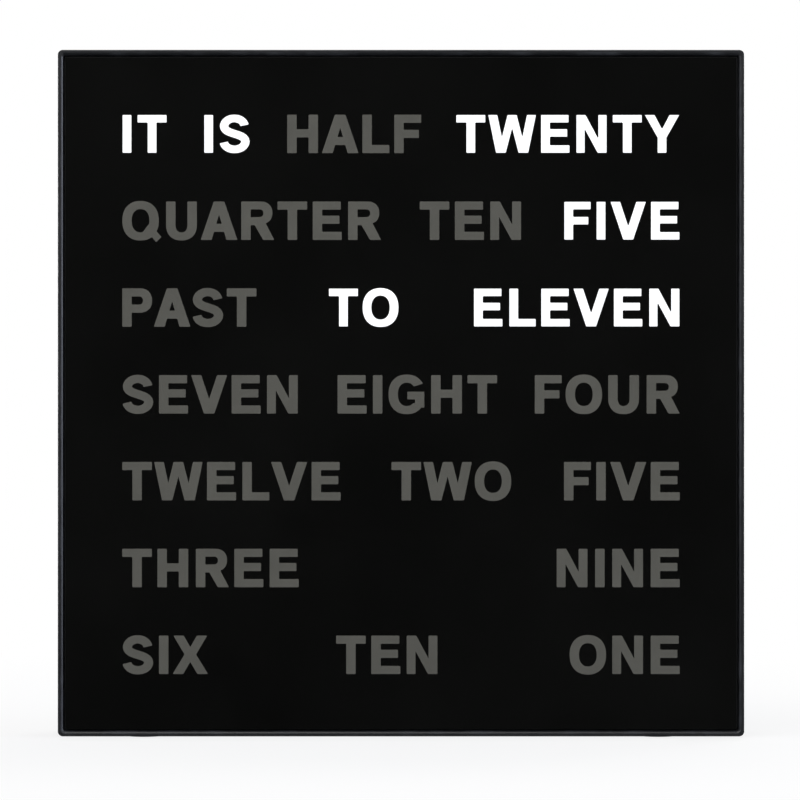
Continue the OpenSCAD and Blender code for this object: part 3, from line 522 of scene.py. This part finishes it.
letters = {
    # letter: gap before, ink width, gap after, closed outlines
    "A": (0.0, 0.955, 0.0, [
        [(0, 0), (0.285, 0), (0.345, 0.21), (0.61, 0.21), (0.67, 0), (0.955, 0), (0.615, 1), (0.34, 1)],
        [(0.405, 0.42), (0.55, 0.42), (0.4775, 0.66)]]),
    "C": (0.06, 0.90, 0.05, [
        bowlOutside(34, 326, 34) + bowlInside(316, 44, 28)]),
    "D": (0.10, 0.88, 0.06, [
        [(0, 0)] + arc(0.42, 0.5, 0.46, 0.5, -90, 90, 24) + [(0, 1)],
        [(stem, bar)] + arc(0.40, 0.5, 0.235, 0.5 - bar, -90, 90, 18) + [(stem, 1 - bar)]]),
    "E": (0.10, 0.755, 0.065, [
        [(0, 0), (0.755, 0), (0.755, bar), (stem, bar), (stem, 0.42), (0.695, 0.42), (0.695, 0.42 + bar),
         (stem, 0.42 + bar), (stem, 1 - bar), (0.73, 1 - bar), (0.73, 1), (0, 1)]]),
    "F": (0.10, 0.70, 0.04, [
        [(0, 0), (stem, 0), (stem, 0.395), (0.64, 0.395), (0.64, 0.395 + bar), (stem, 0.395 + bar),
         (stem, 1 - bar), (0.70, 1 - bar), (0.70, 1), (0, 1)]]),
    "G": (0.06, 0.93, 0.08, [
        bowlOutside(30, 322, 34)
        + [(0.93, 0.15), (0.93, 0.57), (0.49, 0.57), (0.49, 0.37), (0.69, 0.37), (0.69, 0.27)]
        + bowlInside(312, 40, 28)]),
    "H": (0.10, 0.80, 0.10, [
        [(0, 0), (stem, 0), (stem, 0.41), (0.80 - stem, 0.41), (0.80 - stem, 0), (0.80, 0), (0.80, 1),
         (0.80 - stem, 1), (0.80 - stem, 0.41 + bar), (stem, 0.41 + bar), (stem, 1), (0, 1)]]),
    "I": (0.10, stem, 0.10, [[(0, 0), (stem, 0), (stem, 1), (0, 1)]]),
    "L": (0.10, 0.70, 0.03, [[(0, 0), (0.70, 0), (0.70, bar), (stem, bar), (stem, 1), (0, 1)]]),
    "M": (0.10, 0.91, 0.10, [
        [(0, 0), (0.215, 0), (0.215, 0.66), (0.365, 0), (0.545, 0), (0.695, 0.66), (0.695, 0), (0.91, 0),
         (0.91, 1), (0.61, 1), (0.455, 0.42), (0.30, 1), (0, 1)]]),
    "N": (0.10, 0.80, 0.10, [
        [(0, 0), (0.23, 0), (0.23, 0.60), (0.555, 0), (0.80, 0), (0.80, 1), (0.57, 1), (0.57, 0.40),
         (0.25, 1), (0, 1)]]),
    "O": (0.06, 0.95, 0.06, [
        bowlOutside(0, 360, 40)[:-1], bowlInside(0, 360, 32)[:-1]]),
    "P": (0.10, 0.775, 0.045, [
        [(0, 0), (stem, 0), (stem, 0.365)] + arc(0.455, 0.6825, 0.32, 0.3175, -90, 90, 18) + [(0, 1)],
        [(stem, 0.577)] + arc(0.435, 0.6825, 0.105, 0.1055, -90, 90, 10) + [(stem, 1 - bar)]]),
    # the tail of the Q starts at a flat cut across its counter
    "Q": (0.06, 0.95, 0.09, [
        bowlOutside(-30, 306, 38) + [(0.88, -0.06), (1.02, 0.075)],
        bowlInside(-12, 282, 30)]),
    "R": (0.10, 0.86, 0.04, [
        [(0, 0), (stem, 0), (stem, 0.385), (0.35, 0.385), (0.57, 0), (0.86, 0), (0.635, 0.435)]
        + arc(0.50, 0.705, 0.31, 0.295, -52, 90, 16) + [(0, 1)],
        [(stem, 0.59)] + arc(0.475, 0.695, 0.10, 0.10, -90, 90, 10) + [(stem, 0.795)]]),
    "S": (0.045, 0.81, 0.045, [snake()]),
    "T": (0.045, 0.77, 0.045, [
        [(0.385 - stem / 2, 0), (0.385 + stem / 2, 0), (0.385 + stem / 2, 1 - bar), (0.77, 1 - bar),
         (0.77, 1), (0, 1), (0, 1 - bar), (0.385 - stem / 2, 1 - bar)]]),
    "U": (0.10, 0.80, 0.10, [
        [(0, 1)] + arc(0.40, 0.39, 0.40, 0.405, 180, 360, 20) + [(0.80, 1), (0.80 - stem, 1)]
        + arc(0.40, 0.39, 0.40 - stem, 0.405 - bar, 360, 180, 16) + [(stem, 1)]]),
    "V": (0.015, 0.94, 0.015, [
        [(0.335, 0), (0.605, 0), (0.94, 1), (0.675, 1), (0.47, 0.38), (0.265, 1), (0, 1)]]),
    "W": (0.015, 1.26, 0.015, [
        [(0.205, 0), (0.47, 0), (0.63, 0.62), (0.79, 0), (1.055, 0), (1.26, 1), (1.01, 1), (0.895, 0.45),
         (0.755, 1), (0.505, 1), (0.365, 0.45), (0.25, 1), (0, 1)]]),
    "X": (0.01, 0.92, 0.01, [
        [(0, 0), (0.275, 0), (0.46, 0.315), (0.645, 0), (0.92, 0), (0.61, 0.51), (0.90, 1), (0.63, 1),
         (0.46, 0.70), (0.29, 1), (0.02, 1), (0.31, 0.51)]]),
    "Y": (0.015, 0.92, 0.015, [
        [(0.46 - stem / 2, 0), (0.46 + stem / 2, 0), (0.46 + stem / 2, 0.40), (0.92, 1), (0.65, 1),
         (0.46, 0.64), (0.27, 1), (0, 1), (0.46 - stem / 2, 0.40)]]),
}


def roundedCorners(points, radius):
    # each sharp corner of an outline becomes three points on a small curve, if its sides are long enough
    bluntDegrees, sideShare = 150, 1.2
    result = []
    for i, here in enumerate(points):
        before, corner, after = Vector(points[i - 1]), Vector(here), Vector(points[(i + 1) % len(points)])
        back, on = before - corner, after - corner
        blunt = math.degrees(back.angle(on, math.pi)) > bluntDegrees
        if blunt or min(back.length, on.length) < radius * sideShare:
            result.append(tuple(corner))
            continue
        start, end = corner + back.normalized() * radius, corner + on.normalized() * radius
        result += [tuple(start), tuple(corner * 0.5 + (start + end) * 0.25), tuple(end)]
    return result


def wordWidth(word):
    return sum(sum(letters[letter][:3]) for letter in word)


def lettering(name, word, capMm, start, turn, relief, finish):
    # flat filled curves become one closed plate, whose face stands a hair proud of the surface
    capital = capMm * mm
    proud, sunk = relief["proudMm"] * mm, relief["sunkMm"] * mm
    curve = bpy.data.curves.new(name, "CURVE")
    curve.dimensions = "2D"
    curve.fill_mode = "BOTH"
    curve.extrude = (proud + sunk) / 2
    curve.offset = -relief["thinnerMm"] * mm
    pen = 0.0
    for letter in word:
        gapBefore, inkWidth, gapAfter, outlines = letters[letter]
        for outline in outlines:
            points = roundedCorners(outline, relief["cornerRound"])
            spline = curve.splines.new("POLY")
            spline.points.add(len(points) - 1)
            for point, (x, y) in zip(spline.points, points):
                point.co = ((pen + gapBefore + x) * capital, y * capital, 0, 1)
            spline.use_cyclic_u = True
        pen += gapBefore + inkWidth + gapAfter
    plate = bpy.data.objects.new(name, curve)
    bpy.context.scene.collection.objects.link(plate)
    pick(plate)
    bpy.ops.object.convert(target="MESH")
    plate = bpy.context.object
    upright = Matrix.Rotation(math.radians(turn), 4, "Z") @ Matrix.Rotation(math.radians(90), 4, "X")
    outward = Matrix.Translation((0, 0, (proud - sunk) / 2))
    plate.data.transform(Matrix.Translation(start) @ upright @ outward)
    bpy.ops.object.mode_set(mode="EDIT")
    bpy.ops.mesh.select_all(action="SELECT")
    bpy.ops.mesh.remove_doubles(threshold=relief["mergeMm"] * mm)
    bpy.ops.mesh.normals_make_consistent(inside=False)
    bpy.ops.object.mode_set(mode="OBJECT")
    dress(plate, finishes[finish])
    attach(plate, "case")
    return plate


print("words")
dial = {
    "rows": [["IT", "IS", "HALF", "TWENTY"], ["QUARTER", "TEN", "FIVE"], ["PAST", "TO", "ELEVEN"],
             ["SEVEN", "EIGHT", "FOUR"], ["TWELVE", "TWO", "FIVE"], ["THREE", "NINE"],
             ["SIX", "TEN", "ONE"]],
    # row and place of the words that are lit: it is twenty five to eleven
    "lit": [(0, 0), (0, 1), (0, 3), (1, 2), (2, 1), (2, 2)],
    "capMm": 9.24, "pitchMm": 20.87, "widthMm": 134.0, "dropMm": 0.3,
    # light spreads past the edge of a lit letter, so its strokes are thinner on each side
    "relief": {"proudMm": 0.03, "sunkMm": 0.05, "cornerRound": 0.02, "thinnerMm": 0.0, "mergeMm": 0.001},
    "litRelief": {"proudMm": 0.03, "sunkMm": 0.05, "cornerRound": 0.02, "thinnerMm": 0.09,
                  "mergeMm": 0.001},
}
panelLow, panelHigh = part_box("front_panel")
dialMiddle = (panelLow + panelHigh) / 2
dialCap = dial["capMm"] * mm
middleRow = (len(dial["rows"]) - 1) / 2
for rowIndex, row in enumerate(dial["rows"]):
    # a row runs from the ink of its first letter to the ink of its last, with equal gaps between words
    firstGap, lastGap = letters[row[0][0]][0] * dialCap, letters[row[-1][-1]][2] * dialCap
    inkWidth = sum(map(wordWidth, row)) * dialCap - firstGap - lastGap
    wordGap = (dial["widthMm"] * mm - inkWidth) / (len(row) - 1)
    x = dialMiddle.x - dial["widthMm"] * mm / 2 - firstGap
    z = dialMiddle.z + ((middleRow - rowIndex) * dial["pitchMm"] - dial["dropMm"]) * mm - dialCap / 2
    for wordIndex, word in enumerate(row):
        lit = (rowIndex, wordIndex) in dial["lit"]
        lettering(f"word{rowIndex + 1}{wordIndex + 1}", word, dial["capMm"], (x, panelLow.y, z), 0,
                  dial["litRelief" if lit else "relief"], "wordLit" if lit else "wordDark")
        x += wordWidth(word) * dialCap + wordGap


print("labels")
labels = {
    # word printed beside each key and the inlet
    "words": {"HOUR": "hour_button", "MIN": "minute_button", "LIGHT": "light_button", "DC": "power_jack"},
    "capMm": 2.4, "gapMm": 3.4,
    "relief": {"proudMm": 0.02, "sunkMm": 0.03, "cornerRound": 0.03, "thinnerMm": 0.0, "mergeMm": 0.001},
}
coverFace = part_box("rear_cover")[1].y
for word, neighbour in labels["words"].items():
    low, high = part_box(neighbour)
    start = (low.x - labels["gapMm"] * mm, coverFace, (low.z + high.z) / 2 - labels["capMm"] * mm / 2)
    lettering("label" + word.title(), word, labels["capMm"], start, 180, labels["relief"], "labelInk")


print("inner pieces")
plainFinish = {
    "panel_tape": "tape", "mask_film": "filmPrint", "diffuser_sheet": "milkySheet",
    "light_baffle": "whiteAbs", "led_board": "whiteMask", "leds": "ledBody", "board_chips": "epoxy",
    "board_screws": "zincSteel", "header_socket": "nylon", "header_pins": "nylon",
    "control_board": "greenMask", "control_screws": "zincSteel", "tact_switches": "nylon",
    "hour_stem": "acetal", "minute_stem": "acetal", "light_stem": "acetal", "power_jack": "nylon",
    "jack_pin": "nickel", "smoothing_capacitor": "sleeve", "case_screws": "blackSteel",
    "leg_pin": "nickel", "battery_screw": "zincSteel", "coin_cell": "cellSteel",
    "cell_contact_base": "brass", "cell_contact_side": "brass",
}
for nodeName, finish in plainFinish.items():
    dress(nodes[nodeName], finishes[finish])


print("studio")
studio = {
    "floorColour": "#e9e9e9", "floorSizeM": 6.0,
    # the floor takes the shadow near the clock and is plain white further off
    "whiteNear": 0.78, "whiteFromM": 0.1, "whiteToM": 0.45,
    "worldGrey": 0.38, "cardColour": "#030303", "aimZ": 0.08,
    "lamps": {
        # name: place, size, power in watts, colour
        "key": ((-0.35, -1.05, 1.0), 0.9, 8.0, (1.0, 0.99, 0.97)),
        "right": ((1.4, -0.6, 0.3), 0.9, 16.0, (0.75, 0.82, 1.0)),
        "left": ((-1.4, -0.6, 0.45), 0.9, 11.0, (0.82, 0.86, 1.0)),
        "side": ((1.3, -0.2, 0.6), 0.6, 4.0, (0.86, 0.92, 1.0)),
        "back": ((0.3, 1.1, 1.2), 0.8, 9.0, (1.0, 1.0, 1.0)),
        "backRight": ((0.65, 1.3, 0.12), 0.4, 5.0, (1.0, 0.99, 0.97)),
        "backLeft": ((-0.8, 1.2, 0.12), 0.4, 4.0, (0.95, 0.97, 1.0)),
    },
    "cards": {
        # name: place, width and height, turn in degrees. Black cards that only reflections see; the
        # runners lie a hair above the floor
        "cameraCard": ((0, -2.2, 0.4), (2.0, 1.6), (90, 0, 0)),
        # the front runner reaches on under the clock, so that its bottom edges reflect black there: a
        # painted shade in reflections, for the floor that lies in the clock's shadow
        "runnerCard": ((0, -1.05, 0.0002), (0.6, 2.3), (0, 0, 0)),
        "leftCard": ((-1.3, 0.2, 0.6), (4.8, 1.8), (90, 0, 90)),
        "rightCard": ((1.7, 0.2, 0.6), (4.8, 1.8), (90, 0, 90)),
        "topCard": ((0, 0.2, 1.5), (2.4, 4.8), (0, 0, 0)),
        "backCard": ((0, 2.4, 0.5), (3.3, 1.9), (90, 0, 0)),
        "backRunnerCard": ((0, 1.35, 0.0002), (2.0, 2.0), (0, 0, 0)),
    },
}


def seenDirectly(tree):
    # 1 for the camera, in reflections and through clear pieces, and 0 where only light falls
    ray = addNode(tree, "ShaderNodeLightPath").outputs
    mirrored = addNode(tree, "ShaderNodeMath", operation="MAXIMUM",
                       links={0: ray["Is Glossy Ray"], 1: ray["Is Transmission Ray"]})
    return addNode(tree, "ShaderNodeMath", operation="MAXIMUM",
                   links={0: ray["Is Camera Ray"], 1: mirrored.outputs[0]}).outputs[0]


def paleFloor(name, colour):
    # Pale paper: matt where light falls on it, and white where it is seen, more so away from the clock
    material, tree, place, surface = newMaterial(name)
    distance = addNode(tree, "ShaderNodeVectorMath", links={0: place}, operation="LENGTH")
    white = addNode(tree, "ShaderNodeMapRange",
                    {"From Min": studio["whiteFromM"], "From Max": studio["whiteToM"],
                     "To Min": studio["whiteNear"], "To Max": 1.0}, {"Value": distance.outputs["Value"]})
    share = addNode(tree, "ShaderNodeMath", operation="MULTIPLY",
                    links={0: seenDirectly(tree), 1: white.outputs[0]})
    diffuse = addNode(tree, "ShaderNodeBsdfDiffuse", {"Color": linear(colour)})
    glow = addNode(tree, "ShaderNodeEmission", {"Color": (1, 1, 1, 1), "Strength": 1.0})
    both = addNode(tree, "ShaderNodeMixShader",
                   links={0: share.outputs[0], 1: diffuse.outputs[0], 2: glow.outputs[0]})
    tree.links.new(both.outputs[0], surface)
    return material


def flockPaper(name, colour):
    # Flock paper for the cards: no gloss at all, a little uneven where the nap lies
    napMm = 40
    material, tree, place, surface = newMaterial(name)
    nap = addNode(tree, "ShaderNodeTexNoise", {"Scale": 1 / (napMm * mm), "Detail": 3.0},
                  {"Vector": place})
    tone = addNode(tree, "ShaderNodeValToRGB", links={"Fac": nap.outputs["Fac"]},
                   stops=[(0.3, shade(colour, 0.8)), (0.7, shade(colour, 1.2))])
    shader = addNode(tree, "ShaderNodeBsdfDiffuse", {"Roughness": 1.0}, {"Color": tone.outputs["Color"]})
    tree.links.new(shader.outputs[0], surface)
    return material


def stagePlane(name, place, size, turn, material):
    nothingSelected()
    bpy.ops.mesh.primitive_plane_add(size=1, location=place, rotation=[math.radians(a) for a in turn])
    plane = bpy.context.object
    plane.name = name
    plane.scale = (size[0], size[1], 1)
    bpy.ops.object.transform_apply(location=False, rotation=False, scale=True)
    dress(plane, material)
    return plane


floorSize = (studio["floorSizeM"], studio["floorSizeM"])
stagePlane("floor", (0, 0, 0), floorSize, (0, 0, 0), paleFloor("pale paper", studio["floorColour"]))
flock = flockPaper("black flock paper", studio["cardColour"])
for cardName, (place, size, turn) in studio["cards"].items():
    card = stagePlane(cardName, place, size, turn, flock)
    card.visible_camera = card.visible_shadow = card.visible_diffuse = False

world = bpy.data.worlds.new("studio")
bpy.context.scene.world = world
world.use_nodes = True
sky = world.node_tree
sky.nodes.clear()
plain = addNode(sky, "ShaderNodeBackground", {"Color": (1, 1, 1, 1), "Strength": studio["worldGrey"]})
white = addNode(sky, "ShaderNodeBackground", {"Color": (1, 1, 1, 1), "Strength": 1.0})
mixed = addNode(sky, "ShaderNodeMixShader",
                links={0: seenDirectly(sky), 1: plain.outputs[0], 2: white.outputs[0]})
addNode(sky, "ShaderNodeOutputWorld", links={"Surface": mixed.outputs[0]})

for lampName, (place, size, power, colour) in studio["lamps"].items():
    light = bpy.data.lights.new(lampName, "AREA")
    light.size = size
    light.energy = power
    light.color = colour
    lamp = bpy.data.objects.new(lampName, light)
    bpy.context.scene.collection.objects.link(lamp)
    lamp.location = place
    aim = Vector((0, 0, studio["aimZ"])) - Vector(place)
    lamp.rotation_euler = aim.to_track_quat("-Z", "Y").to_euler()


print("camera")
photo = {
    # the photograph is square; the clock's place and width in it, and a likely distance
    "widthPx": 800, "clockMiddlePx": (401.0, 393.1), "clockWidthPx": 686.5, "distanceM": 1.4,
    "sensorMm": 36.0, "nearM": 0.05, "farM": 20,
}
caseLow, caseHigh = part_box("front_case")
metresPerPx = (caseHigh.x - caseLow.x) / photo["clockWidthPx"]
camera = bpy.data.objects.new("camera", bpy.data.cameras.new("camera"))
bpy.context.scene.collection.objects.link(camera)
bpy.context.scene.camera = camera
camera.data.sensor_width = photo["sensorMm"]
camera.data.lens = camera.data.sensor_width * photo["distanceM"] / (photo["widthPx"] * metresPerPx)
camera.location = (
    (photo["widthPx"] / 2 - photo["clockMiddlePx"][0]) * metresPerPx,
    caseLow.y - photo["distanceM"],
    dialMiddle.z + (photo["clockMiddlePx"][1] - photo["widthPx"] / 2) * metresPerPx,
)
camera.rotation_euler = (math.radians(90), 0, 0)
camera.data.clip_start = photo["nearM"]
camera.data.clip_end = photo["farM"]

bpy.context.scene.view_settings.view_transform = "Standard"
